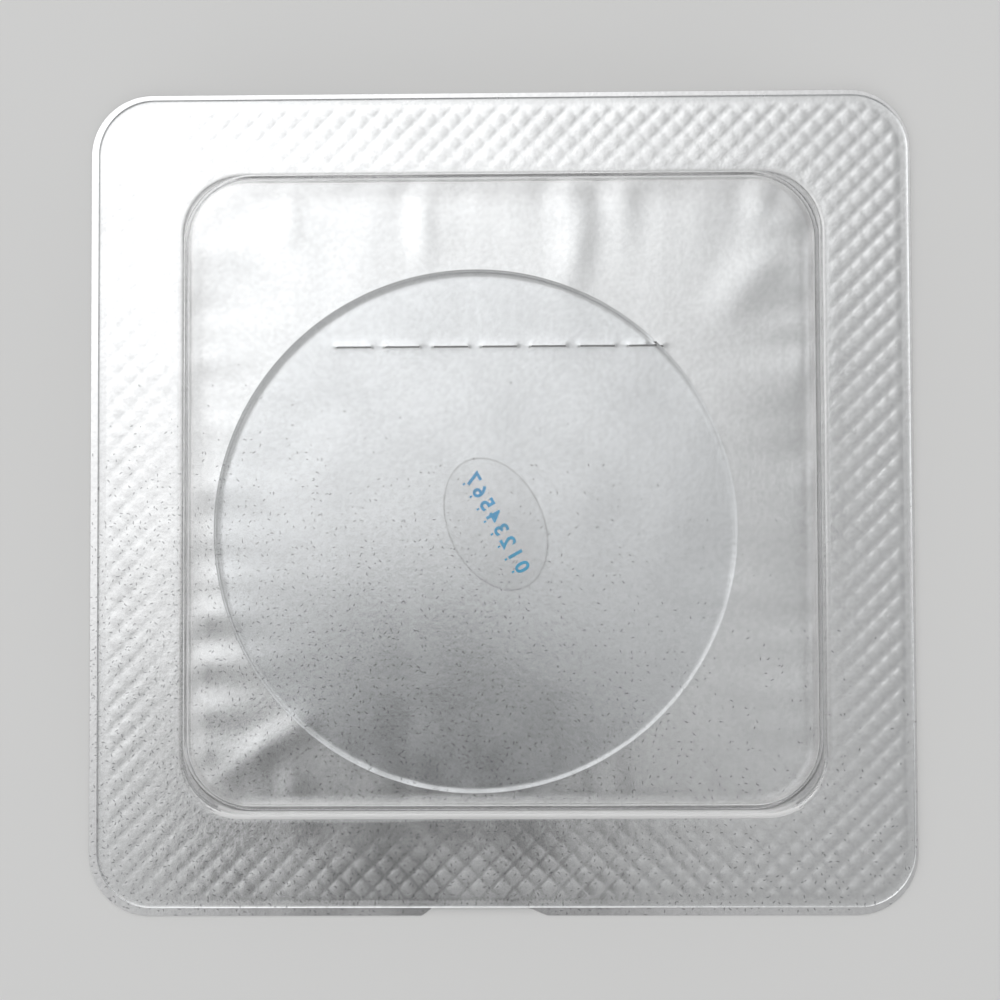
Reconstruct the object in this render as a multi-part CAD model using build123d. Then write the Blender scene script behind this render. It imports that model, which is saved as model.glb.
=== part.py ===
from build123d import *
import os
from math import radians, tan

# Lengths are millimetres and angles are degrees. The card lies on its foil lid in the plane Z = 0,
# the pocket of the blister points up, +X is the card's right and +Y its top edge.

# Crystal: a flat round watch glass of synthetic sapphire
crystal_diameter = 31.5
crystal_thickness = 1.5
crystal_bevel = 0.15

# Lid: hard aluminium foil with a primer outside and a heat-seal lacquer inside
primer_thickness = 0.01
foil_thickness = 0.05
lacquer_thickness = 0.02
card_corner_radius = 3.7

# Blister: one thermoformed clear sheet with a square pocket and a flat flange
sheet_thickness = 0.3
wall_draft = 8.0
shake_room = 3.4
headroom = 1.57
pocket_foot_radius = 3.6
pocket_roof_radius = 4.2
foot_fillet = 0.35
roof_fillet = 0.7

# Flange from its own edge to the pocket's wall, on each side
seal_left = 5.27
seal_right = 5.31
seal_top = 4.78
seal_bottom = 5.62

# Foil that shows past the flange, on each side
lip_left = 0.45
lip_right = 0.15
lip_top = 0.3
lip_bottom = 0.48

# Peel notch in the bottom lip, steep at its left end and tapered at its right end
notch_width = 6.1
notch_steep_run = 0.2
notch_taper_run = 1.05
notch_shift = 1.4
notch_left_over = 0.03

# Row of slits through the lid, parallel to the top edge
slit_count = 7
slit_pitch = 2.96
slit_length = 2.1
slit_width = 0.12
slit_row_drop = 15.65

# Oval sticker on the crystal's underside
sticker_length = 8.5
sticker_width = 5.8
sticker_tilt = 25.0
sticker_shift_x = 1.22
sticker_shift_y = 0.41
film_thickness = 0.05
adhesive_thickness = 0.02
adhesive_margin = 0.1
ink_thickness = 0.01

# Printed scale on the sticker: plain digits, each over a tick, read from below
digit_count = 8
digit_pitch = 0.87
digit_width = 0.42
digit_height = 0.8
stroke_width = 0.1
print_skew = 4.0
tick_length = 0.22
tick_gap = 0.16

# The foil is wavy under the crystal, and its crests carry the sticker's print
wrinkle_height = 0.15

# The crystal lies loose. It is off the pocket's centre by these shares of its room
crystal_shift_shares = (-0.48, -0.69)

# Strokes of each digit, as on a seven-stroke display
digit_strokes = {
    "0": "abcdef",
    "1": "bc",
    "2": "abged",
    "3": "abgcd",
    "4": "fgbc",
    "5": "afgcd",
    "6": "afgedc",
    "7": "abc",
    "8": "abcdefg",
    "9": "abcdfg",
}

# Levels above the table, from the bottom up
foil_bottom = primer_thickness
lacquer_bottom = foil_bottom + foil_thickness
lid_top = lacquer_bottom + lacquer_thickness
flange_top = lid_top + sheet_thickness
ink_bottom = lid_top + wrinkle_height
film_bottom = ink_bottom + ink_thickness
adhesive_bottom = film_bottom + film_thickness
crystal_bottom = adhesive_bottom + adhesive_thickness
crystal_top = crystal_bottom + crystal_thickness
roof_under = crystal_top + headroom
roof_top = roof_under + sheet_thickness

# Plan sizes, which follow the crystal outwards
lean_per_height = tan(radians(wall_draft))
mouth_width = crystal_diameter + 2 * shake_room
wall_width = mouth_width + 2 * (sheet_thickness - sheet_thickness * lean_per_height)
flange_width = seal_left + wall_width + seal_right
flange_height = seal_top + wall_width + seal_bottom
card_width = lip_left + flange_width + lip_right
card_height = lip_top + flange_height + lip_bottom
flange_corner_radius = card_corner_radius - (lip_left + lip_right) / 2

# Places in plan, from the middle of the card
flange_x = (lip_left - lip_right) / 2
flange_y = (lip_bottom - lip_top) / 2
pocket_x = flange_x + (seal_left - seal_right) / 2
pocket_y = flange_y + (seal_bottom - seal_top) / 2
crystal_x = pocket_x + crystal_shift_shares[0] * shake_room
crystal_y = pocket_y + crystal_shift_shares[1] * shake_room
sticker_x = crystal_x + sticker_shift_x
sticker_y = crystal_y + sticker_shift_y
slit_row_y = card_height / 2 - slit_row_drop


def card_outline():
    """Rounded card with the peel notch cut into its bottom edge."""
    edge_y = -card_height / 2
    deep_y = edge_y + lip_bottom - notch_left_over
    left_x = -notch_shift - notch_width / 2
    right_x = -notch_shift + notch_width / 2
    notch = Polygon(
        (left_x - notch_steep_run, edge_y),
        (left_x, deep_y),
        (right_x, deep_y),
        (right_x + notch_taper_run, edge_y),
        align=None,
    )
    return RectangleRounded(card_width, card_height, card_corner_radius) - notch


def slit_row():
    """The slits as thin slots, side by side in one row."""
    slit = SlotOverall(slit_length, slit_width)
    return Pos(0, slit_row_y) * GridLocations(slit_pitch, 0, slit_count, 1) * slit


def lid_layer(bottom, thickness):
    """One layer of the lid, slit and notched like the rest."""
    plan = card_outline() - slit_row()
    return Pos(0, 0, bottom) * extrude(plan, amount=thickness)


def pocket_outline(level, inset):
    """The pocket's rounded square at a level, moved in from its outer face by an inset."""
    climb = level - flange_top
    side = wall_width - 2 * (climb * lean_per_height + inset)
    corner_gain = (pocket_roof_radius - pocket_foot_radius) * climb / (roof_top - flange_top)
    corner = pocket_foot_radius + corner_gain - inset
    return Pos(pocket_x, pocket_y, level) * RectangleRounded(side, side, corner)


def pocket_body(bottom, top, inset, edge_radius):
    """Solid of the pocket between two levels, with its top edge rounded."""
    body = loft([pocket_outline(bottom, inset), pocket_outline(top, inset)])
    return fillet(body.edges().group_by(Axis.Z)[-1], edge_radius)


def pocket_edges(shape, level):
    """The edges round the pocket's foot at a level, without those of the flange's rim."""
    reach = wall_width / 2 + seal_top / 2
    return [
        edge
        for edge in shape.edges().filter_by_position(Axis.Z, level, level)
        if max(abs(edge.center().X - pocket_x), abs(edge.center().Y - pocket_y)) < reach
    ]


def blister_shell():
    """The clear sheet: flange, drafted walls and flat roof in one piece."""
    rim = RectangleRounded(flange_width, flange_height, flange_corner_radius)
    flange = Pos(flange_x, flange_y, lid_top) * extrude(rim, amount=sheet_thickness)
    outside = pocket_body(lid_top, roof_top, 0, roof_fillet)
    sheet = flange + outside
    sheet = fillet(pocket_edges(sheet, flange_top), foot_fillet)
    hollow = pocket_body(lid_top, roof_under, sheet_thickness, roof_fillet - sheet_thickness)
    sheet = sheet - hollow
    return fillet(pocket_edges(sheet, lid_top), foot_fillet + sheet_thickness)


def sapphire_crystal():
    """Flat disc with a fine bevel round both faces."""
    disc = extrude(Circle(crystal_diameter / 2), amount=crystal_thickness)
    disc = chamfer(disc.edges(), crystal_bevel)
    return Pos(crystal_x, crystal_y, crystal_bottom) * disc


def sticker_place(level, turn):
    """The sticker's middle at a level, with +X along the way the print runs."""
    return Location((sticker_x, sticker_y, level), (0, 0, 90 + turn))


def sticker_layer(bottom, thickness, margin):
    """One oval layer of the sticker."""
    oval = Ellipse(sticker_length / 2 - margin, sticker_width / 2 - margin)
    return sticker_place(bottom, sticker_tilt) * extrude(oval, amount=thickness)


def stroke(letter):
    """One stroke of a digit, in a box as wide and high as the digit round its middle."""
    across = digit_width
    upright = (digit_height + stroke_width) / 2
    side = (digit_width - stroke_width) / 2
    rise = (digit_height - stroke_width) / 2
    places = {
        "a": (0, rise, across, stroke_width),
        "b": (side, rise / 2, stroke_width, upright),
        "c": (side, -rise / 2, stroke_width, upright),
        "d": (0, -rise, across, stroke_width),
        "e": (-side, -rise / 2, stroke_width, upright),
        "f": (-side, rise / 2, stroke_width, upright),
        "g": (0, 0, across, stroke_width),
    }
    x, y, width, height = places[letter]
    return Pos(x, y) * Rectangle(width, height)


def digit(name):
    """A digit and the tick under it, round the middle of both."""
    face = Sketch() + [stroke(letter) for letter in digit_strokes[name]]
    tick = Pos(0, -(digit_height + tick_length) / 2 - tick_gap) * Rectangle(stroke_width, tick_length)
    return Pos(0, (tick_gap + tick_length) / 2) * (face + tick)


def sticker_print():
    """The ink: a row of plain digits over ticks, mirrored because it is read from below."""
    half_row = (digit_count - 1) * digit_pitch / 2
    names = sorted(digit_strokes)[:digit_count]
    inks = [
        extrude(Pos(place * digit_pitch - half_row, 0) * digit(name), amount=ink_thickness)
        for place, name in enumerate(names)
    ]
    row = mirror(Compound(children=inks), Plane.XZ)
    return sticker_place(ink_bottom, sticker_tilt + print_skew) * row


def main():
    os.makedirs("parts", exist_ok=True)
    nodes = {
        "lid_primer": lid_layer(0, primer_thickness),
        "lid_foil": lid_layer(foil_bottom, foil_thickness),
        "heat_seal_lacquer": lid_layer(lacquer_bottom, lacquer_thickness),
        "blister_shell": blister_shell(),
        "sapphire_crystal": sapphire_crystal(),
        "sticker_adhesive": sticker_layer(adhesive_bottom, adhesive_thickness, adhesive_margin),
        "sticker_film": sticker_layer(film_bottom, film_thickness, 0),
        "sticker_print": sticker_print(),
    }
    for name, shape in nodes.items():
        export_step(shape, f"parts/{name}.step")


main()
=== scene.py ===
"""A round watch crystal in its heat-sealed blister pack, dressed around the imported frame."""

import logging
import math
from collections.abc import Callable
from dataclasses import dataclass
from enum import Enum, IntEnum

import bpy
import numpy as np
from mathutils import Euler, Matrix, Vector, noise
from mathutils.geometry import delaunay_2d_cdt

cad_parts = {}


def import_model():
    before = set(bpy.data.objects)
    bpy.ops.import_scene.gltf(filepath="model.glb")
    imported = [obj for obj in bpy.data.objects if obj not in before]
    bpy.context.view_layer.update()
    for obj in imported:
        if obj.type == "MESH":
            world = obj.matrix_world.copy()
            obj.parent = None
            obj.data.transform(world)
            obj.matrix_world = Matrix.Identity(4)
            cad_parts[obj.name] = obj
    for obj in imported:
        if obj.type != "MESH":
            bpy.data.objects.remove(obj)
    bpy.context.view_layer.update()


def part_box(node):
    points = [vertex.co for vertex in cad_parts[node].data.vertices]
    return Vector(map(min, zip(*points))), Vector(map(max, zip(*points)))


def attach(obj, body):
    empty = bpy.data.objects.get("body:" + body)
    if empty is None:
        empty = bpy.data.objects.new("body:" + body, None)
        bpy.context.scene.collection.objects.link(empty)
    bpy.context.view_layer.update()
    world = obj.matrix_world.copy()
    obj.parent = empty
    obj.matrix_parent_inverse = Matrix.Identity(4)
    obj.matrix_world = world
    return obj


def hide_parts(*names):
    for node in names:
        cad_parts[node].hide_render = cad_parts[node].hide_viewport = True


MM = 0.001
ROOT_TWO = math.sqrt(2)
QUARTER_TURN = math.pi / 2
MERGE_REACH = 1e-7
LEVEL_REACH = 1e-9
NO_KEY = np.iinfo(np.int32).min // 2
SEAL_SHARE = "seal_share"
PRESSED = "pressed"
FLOAT = "NodeSocketFloat"
VECTOR = "NodeSocketVector"
GEOMETRY = "NodeSocketGeometry"
MATERIAL = "NodeSocketMaterial"
LOG = logging.getLogger("crystal_pack")

Array = np.ndarray
Pair = tuple[float, float]
Place = tuple[float, float, float]
Colour = tuple[float, float, float]
Socket = bpy.types.NodeSocket
Node = bpy.types.Node
Tree = bpy.types.NodeTree
Material = bpy.types.Material
Piece = bpy.types.Object


@dataclass(frozen=True)
class Ramp:
    """Soft rise from 0 to 1 between a low and a high place."""

    low: float
    high: float

    def at(self, values: Array) -> Array:
        """How high the ramp is at each place.

        Args:
            values: The places along it.

        Returns:
            Heights from 0 to 1.
        """
        share = np.clip((values - self.low) / (self.high - self.low), 0.0, 1.0)
        return share * share * (3.0 - 2.0 * share)

    def between(self, values: Array, first: float | Array, last: float) -> Array:
        """The ramp's height at each place, from a first value to a last one."""
        return first + (last - first) * self.at(values)


WHOLE = Ramp(0.0, 1.0)


@dataclass(frozen=True)
class Waviness:
    """Smooth random heights between about -1 and 1 over a plane."""

    size: Pair
    layer: float

    def at(self, points: Array) -> Array:
        """One height for each place in plan."""
        scaled = points / np.array(self.size)
        return np.array([noise.noise(Vector((x, y, self.layer))) for x, y in scaled.tolist()])


@dataclass(frozen=True)
class RoundedBox:
    """A rectangle with rounded corners in plan."""

    centre: Pair
    half: Pair
    radius: float

    @property
    def low_side(self) -> float:
        """Where its lower side is."""
        return self.centre[1] - self.half[1]

    def distance(self, points: Array) -> Array:
        """Distance of each point from the outline, negative inside.

        Args:
            points: Places in plan.

        Returns:
            One signed distance for each place.
        """
        reach = np.abs(points - np.array(self.centre)) - (np.array(self.half) - self.radius)
        outside = np.linalg.norm(np.maximum(reach, 0.0), axis=1)
        return outside + np.minimum(reach.max(axis=1), 0.0) - self.radius

    def grown(self, amount: float) -> "RoundedBox":
        """The same outline moved outwards everywhere by an amount."""
        half = (self.half[0] + amount, self.half[1] + amount)
        return RoundedBox(self.centre, half, self.radius + amount)

    def loop(self, side_steps: int, corner_steps: int) -> Array:
        """Points round the outline, counter-clockwise from the right side's lower end.

        Args:
            side_steps: Points along each straight side.
            corner_steps: Points along each corner.

        Returns:
            The points, as many for any outline with the same steps.
        """
        flat_x = self.half[0] - self.radius
        flat_y = self.half[1] - self.radius
        corners = [(flat_x, flat_y), (-flat_x, flat_y), (-flat_x, -flat_y), (flat_x, -flat_y)]
        points: list[Pair] = []
        for turn, here in enumerate(corners):
            before = corners[turn - 1]
            facing = turn * QUARTER_TURN
            out_x = self.radius * math.cos(facing)
            out_y = self.radius * math.sin(facing)
            length = abs(here[0] - before[0]) + abs(here[1] - before[1])
            for step in range(side_steps if length > 0 else 0):
                share = step / side_steps
                x = before[0] + (here[0] - before[0]) * share + out_x
                y = before[1] + (here[1] - before[1]) * share + out_y
                points.append((x, y))
            for step in range(corner_steps):
                angle = facing + step / corner_steps * QUARTER_TURN
                x = here[0] + self.radius * math.cos(angle)
                y = here[1] + self.radius * math.sin(angle)
                points.append((x, y))
        return np.array(points) + np.array(self.centre)


def directions(heading: float) -> tuple[Array, Array]:
    """Unit vectors along a heading and to its left.

    Args:
        heading: The heading in degrees.

    Returns:
        The two vectors.
    """
    run = np.array([math.cos(math.radians(heading)), math.sin(math.radians(heading))])
    return run, np.array([-run[1], run[0]])


def oval(centre: Pair, half: Pair, turns: int, heading: float = 0.0) -> Array:
    """Points round an ellipse.

    Args:
        centre: Its middle.
        half: Half its size along its heading and across it.
        turns: How many points it has.
        heading: Its heading in degrees.

    Returns:
        The points, counter-clockwise.
    """
    angles = np.linspace(0.0, 2.0 * math.pi, turns, endpoint=False)
    run, side = directions(heading)
    along = half[0] * np.cos(angles)
    across = half[1] * np.sin(angles)
    return along[:, None] * run + across[:, None] * side + np.array(centre)


class Spacing(Enum):
    """How many lattice steps lie between two neighbouring points of a sheet."""

    NONE = 0
    FINE = 1
    COARSE = 2
    WIDE = 4


@dataclass(frozen=True)
class Lattice:
    """Square lattice turned by 45 degrees, in step with the knurl's rows."""

    pitch: float = 1.0 * MM
    steps: int = 6

    def cover(self, reach: float) -> tuple[Array, Array]:
        """All lattice points within a square round the origin.

        Args:
            reach: Half the square's width.

        Returns:
            The points' row and column numbers, and their places.
        """
        step = self.pitch / self.steps
        count = math.ceil(reach * ROOT_TWO / step)
        rows, columns = np.meshgrid(np.arange(-count, count + 1), np.arange(-count, count + 1))
        keys = np.stack([rows.ravel(), columns.ravel()], axis=1)
        x = (keys[:, 0] - keys[:, 1]) * step / ROOT_TWO
        y = (keys[:, 0] + keys[:, 1]) * step / ROOT_TWO
        places = np.stack([x, y], axis=1)
        near = np.abs(places).max(axis=1) <= reach
        return keys[near], places[near]


@dataclass
class Plan:
    """A flat sheet cut to its outlines: lattice squares inside, triangles along the cuts."""

    points: Array
    squares: Array
    triangles: Array
    loops: list[Array]


def cut_plan(
    lattice: Lattice,
    loops: list[Array],
    spacing_at: Callable[[Array], Array],
    inside: Callable[[Array], Array],
) -> Plan:
    """Cuts a flat sheet to closed outlines and fills it with lattice points.

    Args:
        lattice: The lattice that the sheet's points lie on.
        loops: Outer outline first, then the outlines of its holes.
        spacing_at: Gives the Spacing value wanted at each place, 0 for no point.
        inside: Tells which places belong to the sheet.

    Returns:
        The cut sheet.
    """
    edge_points = np.concatenate(loops)
    keys, places = lattice.cover(float(np.abs(edge_points).max()))
    spacing = spacing_at(places)
    stride = np.maximum(spacing, 1)
    keep = (spacing > 0) & (keys[:, 0] % stride == 0) & (keys[:, 1] % stride == 0)
    points = np.concatenate([edge_points, places[keep]])
    edges: list[tuple[int, int]] = []
    loop_rows: list[Array] = []
    start = 0
    for loop in loops:
        rows = np.arange(start, start + len(loop))
        loop_rows.append(rows)
        edges += list(zip(rows.tolist(), np.roll(rows, -1).tolist()))
        start += len(loop)
    coordinates = [Vector(point) for point in (points / MM).tolist()]
    found, _, faces, *_ = delaunay_2d_cdt(coordinates, edges, [], 0, MERGE_REACH, False)
    if len(found) != len(points):
        raise ValueError(f"outlines cross or meet: {len(points)} points became {len(found)}")
    triangles = np.array(faces)
    triangles = triangles[inside(points[triangles].mean(axis=1))]
    key_of_point = np.full((len(points), 2), NO_KEY)
    key_of_point[len(edge_points):] = keys[keep]
    squares = np.empty((0, 4), int)
    for choice in (Spacing.FINE, Spacing.COARSE, Spacing.WIDE):
        more, triangles = join_squares(triangles, key_of_point, choice.value)
        squares = np.concatenate([squares, more])
    return Plan(points, squares, triangles, loop_rows)


def join_squares(triangles: Array, keys: Array, stride: int) -> tuple[Array, Array]:
    """Turns each pair of triangles that fills one lattice cell into a square.

    Args:
        triangles: Rows of three point numbers.
        keys: Lattice row and column of each point.
        stride: Lattice steps along a cell's side.

    Returns:
        The squares as rows of four point numbers, and the triangles left over.
    """
    corners = keys[triangles]
    low = corners.min(axis=1)
    high = corners.max(axis=1)
    fits = ((high - low) == stride).all(axis=1) & (low % stride == 0).all(axis=1)
    width = int(np.abs(keys[keys[:, 0] > NO_KEY]).max()) * 4 + 4
    cell = (low[:, 0] + width) * 4 * width + low[:, 1] + width
    cell = np.where(fits, cell, -1)
    names, first, counts = np.unique(cell, return_index=True, return_counts=True)
    full = (counts == 2) & (names >= 0)
    row_of_key = {key: row for row, key in enumerate(map(tuple, keys.tolist()))}
    squares = []
    for left, bottom in low[first[full]].tolist():
        right, top = left + stride, bottom + stride
        around = ((left, bottom), (right, bottom), (right, top), (left, top))
        squares.append([row_of_key[key] for key in around])
    used = np.isin(cell, names[full])
    return np.array(squares, int).reshape(-1, 4), triangles[~used]


def new_object(name: str, data: bpy.types.ID) -> Piece:
    """Makes an object and links it to the scene.

    Args:
        name: Its name.
        data: Its mesh, curve, lamp or camera.

    Returns:
        The object.
    """
    made = bpy.data.objects.new(name, data)
    bpy.context.scene.collection.objects.link(made)
    return made


class MeshParts:
    """Points and faces gathered for one piece."""

    def __init__(self) -> None:
        """Starts with nothing."""
        self.points: list[Array] = []
        self.shares: list[Array] = []
        self.faces: list[list[int]] = []
        self.slots: list[int] = []
        self.count = 0

    def add_points(self, plan: Array, height: Array | float, share: Array | float = 0.0) -> Array:
        """Adds points and gives their numbers.

        Args:
            plan: Their places in plan.
            height: Their heights, or one for all.
            share: How far the knurl shows at each, from 0 to 1.

        Returns:
            The new points' numbers.
        """
        level = np.broadcast_to(np.asarray(height, float), (len(plan),))
        self.points.append(np.column_stack([plan, level]))
        self.shares.append(np.broadcast_to(np.asarray(share, float), (len(plan),)))
        start = self.count
        self.count += len(plan)
        return np.arange(start, self.count)

    def add_faces(self, faces: Array, flip: bool, slot: Array | int) -> None:
        """Adds faces of one size.

        Args:
            faces: Rows of point numbers, counter-clockwise seen from outside.
            flip: True to turn them over, with each square split along the same diagonal.
            slot: Material slot of each, or one for all.
        """
        rows = np.roll(faces[:, ::-1], 1, axis=1) if flip else faces
        self.faces += rows.tolist()
        self.slots += np.broadcast_to(slot, (len(rows),)).tolist()

    def add_plan(self, plan: Plan, rows: Array, flip: bool, slot: int) -> None:
        """Adds the faces of a flat sheet on points added before.

        Args:
            plan: The cut sheet.
            rows: Numbers of the points that carry it.
            flip: True for a side that faces down.
            slot: Their material slot.
        """
        self.add_faces(rows[plan.squares], flip, slot)
        self.add_faces(rows[plan.triangles], flip, slot)

    def bridge(self, lower: Array, upper: Array, flip: bool, slot: Array | int) -> None:
        """Joins two closed loops of points by a band of squares.

        Args:
            lower: The first loop, counter-clockwise from above.
            upper: The loop above it or inside it, in the same order.
            flip: True where the band faces inwards.
            slot: Material slot of each square, or one for all.
        """
        band = np.column_stack([lower, np.roll(lower, -1), np.roll(upper, -1), upper])
        self.add_faces(band, flip, slot)

    def cap(
        self, rim: Array, rings: list[Array], centre: Pair, level: float, flip: bool, slot: int
    ) -> None:
        """Closes a loop of points with narrowing rings and a fan round their middle.

        Args:
            rim: The loop.
            rings: Places of the rings inside it, from the widest.
            centre: Their middle.
            level: Height of them all.
            flip: True for a face that looks down.
            slot: Material slot.
        """
        rows = rim
        for ring in rings:
            inner = self.add_points(ring, level)
            self.bridge(rows, inner, flip, slot)
            rows = inner
        middle = self.add_points(np.array([centre]), level)
        fan = np.column_stack([rows, np.roll(rows, -1), np.full(len(rows), middle[0])])
        self.add_faces(fan, flip, slot)

    def build(self, name: str, materials: list[Material]) -> Piece:
        """Makes the piece's object, with the knurl's share as an attribute where it has one.

        Args:
            name: The object's name.
            materials: One for each slot.

        Returns:
            The object, linked to the scene, with its place in its mesh.
        """
        mesh = bpy.data.meshes.new(name)
        mesh.from_pydata(np.concatenate(self.points).tolist(), [], self.faces)
        for material in materials:
            mesh.materials.append(material)
        mesh.polygons.foreach_set("material_index", self.slots)
        shares = np.concatenate(self.shares).astype(np.float32)
        if shares.any():
            attribute = mesh.attributes.new(SEAL_SHARE, "FLOAT", "POINT")
            attribute.data.foreach_set("value", shares)
        mesh.update()
        return new_object(name, mesh)


def finish_shading(piece: Piece, crease: float) -> None:
    """Shades a piece smoothly, with hard edges where faces meet at more than an angle.

    Args:
        piece: The piece.
        crease: The angle in degrees.
    """
    piece.data.shade_smooth()
    piece.data.set_sharp_from_angle(angle=math.radians(crease))


@dataclass
class Nodes:
    """Short calls for adding nodes to a tree and linking them."""

    tree: Tree

    def feed(self, target: Socket, value: object) -> None:
        """Links a socket to an input, or sets its value.

        Args:
            target: The input.
            value: The socket, or the value, with no alpha for a colour.
        """
        if isinstance(value, bpy.types.NodeSocket):
            self.tree.links.new(value, target)
        else:
            target.default_value = (*value, 1.0) if target.type == "RGBA" else value

    def fill(self, node: Node, inputs: dict[str | int, object]) -> Node:
        """Feeds some inputs of a node.

        Args:
            node: The node.
            inputs: Values or sockets, by the input's number, or its name with _ for a space.

        Returns:
            The node.
        """
        for key, value in inputs.items():
            self.feed(node.inputs[key.replace("_", " ") if isinstance(key, str) else key], value)
        return node

    def add(self, kind: str, settings: dict[str, object] | None = None, **inputs: object) -> Node:
        """Adds a node.

        Args:
            kind: The node's type name.
            settings: Properties to set on it.
            **inputs: Values or sockets for its inputs, by name with _ for a space.

        Returns:
            The node.
        """
        node = self.tree.nodes.new(kind)
        for name, value in (settings or {}).items():
            setattr(node, name, value)
        return self.fill(node, inputs)

    def math(self, operation: str, *values: object, clamp: bool = False) -> Socket:
        """Adds a Math node.

        Args:
            operation: Its operation.
            *values: Its inputs in order.
            clamp: True to keep the result between 0 and 1.

        Returns:
            Its result.
        """
        node = self.add("ShaderNodeMath", {"operation": operation, "use_clamp": clamp})
        return self.fill(node, dict(enumerate(values))).outputs[0]

    def vector(self, operation: str, *values: object) -> Socket:
        """Adds a Vector Math node.

        Args:
            operation: Its operation.
            *values: Its inputs in order.

        Returns:
            Its result, a number for DOT_PRODUCT and LENGTH and a vector for the others.
        """
        node = self.add("ShaderNodeVectorMath", {"operation": operation})
        self.fill(node, dict(enumerate(values)))
        return node.outputs["Value" if operation in ("DOT_PRODUCT", "LENGTH") else "Vector"]

    def ramp(self, value: object, ramp: Ramp, first: object, last: object) -> Socket:
        """Maps a value through a ramp to another range.

        Args:
            value: The value to map.
            ramp: The ramp.
            first: The result at the ramp's low end.
            last: The result at its high end.

        Returns:
            The mapped value.
        """
        node = self.add("ShaderNodeMapRange", {"interpolation_type": "SMOOTHSTEP"}, Value=value)
        self.fill(node, {"From_Min": ramp.low, "From_Max": ramp.high, "To_Min": first, "To_Max": last})
        return node.outputs["Result"]

    def mix(self, share: object, first: object, second: object) -> Socket:
        """Mixes two colours.

        Args:
            share: Share of the second.
            first: The colour at 0.
            second: The colour at 1.

        Returns:
            The mixed colour.
        """
        node = self.add("ShaderNodeMix", {"data_type": "RGBA"})
        return self.fill(node, {"Factor": share, 6: first, 7: second}).outputs[2]

    def split(self, vector: Socket) -> bpy.types.bpy_prop_collection:
        """The parts X, Y and Z of a vector."""
        return self.add("ShaderNodeSeparateXYZ", Vector=vector).outputs

    def group(self, tree: Tree, **inputs: object) -> Socket:
        """Adds a group with its inputs and gives its only output."""
        return self.add("ShaderNodeGroup", {"node_tree": tree}, **inputs).outputs[0]

    def attribute(self, name: str) -> Socket:
        """Value of a mesh attribute in a material."""
        return self.add("ShaderNodeAttribute", {"attribute_name": name}).outputs["Fac"]

    def bump(self, height: Socket, strength: float, distance: float) -> Socket:
        """Normal of a surface with a fine height on it."""
        return self.add("ShaderNodeBump", Strength=strength, Distance=distance, Height=height).outputs[0]

    def dress(self, geometry: Socket, material: Socket, **selection: Socket) -> Socket:
        """Ends a Geometry Nodes tree with Realize Instances and Set Material.

        Args:
            geometry: What the tree has made.
            material: Its material.
            **selection: Selection, the faces that get the material, where not all do.

        Returns:
            The finished geometry.
        """
        real = self.add("GeometryNodeRealizeInstances", Geometry=geometry).outputs[0]
        node = self.add("GeometryNodeSetMaterial", Geometry=real, Material=material, **selection)
        return node.outputs[0]


def new_group(
    name: str,
    kind: str,
    inputs: list[tuple[str, str, object]],
    output: tuple[str, str],
) -> tuple[Nodes, bpy.types.bpy_prop_collection, Socket]:
    """Starts a node group with named sockets.

    Args:
        name: The group's name.
        kind: The tree's type.
        inputs: Name, socket type and default of each input.
        output: Name and socket type of its output.

    Returns:
        The group's nodes, its inputs as seen inside it, and the socket to feed with its result.
    """
    tree = bpy.data.node_groups.new(name, kind)
    for label, socket_type, default in inputs:
        socket = tree.interface.new_socket(label, in_out="INPUT", socket_type=socket_type)
        if default is not None:
            socket.default_value = default
    tree.interface.new_socket(output[0], in_out="OUTPUT", socket_type=output[1])
    nodes = Nodes(tree)
    return nodes, nodes.add("NodeGroupInput").outputs, nodes.add("NodeGroupOutput").inputs[0]


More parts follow.
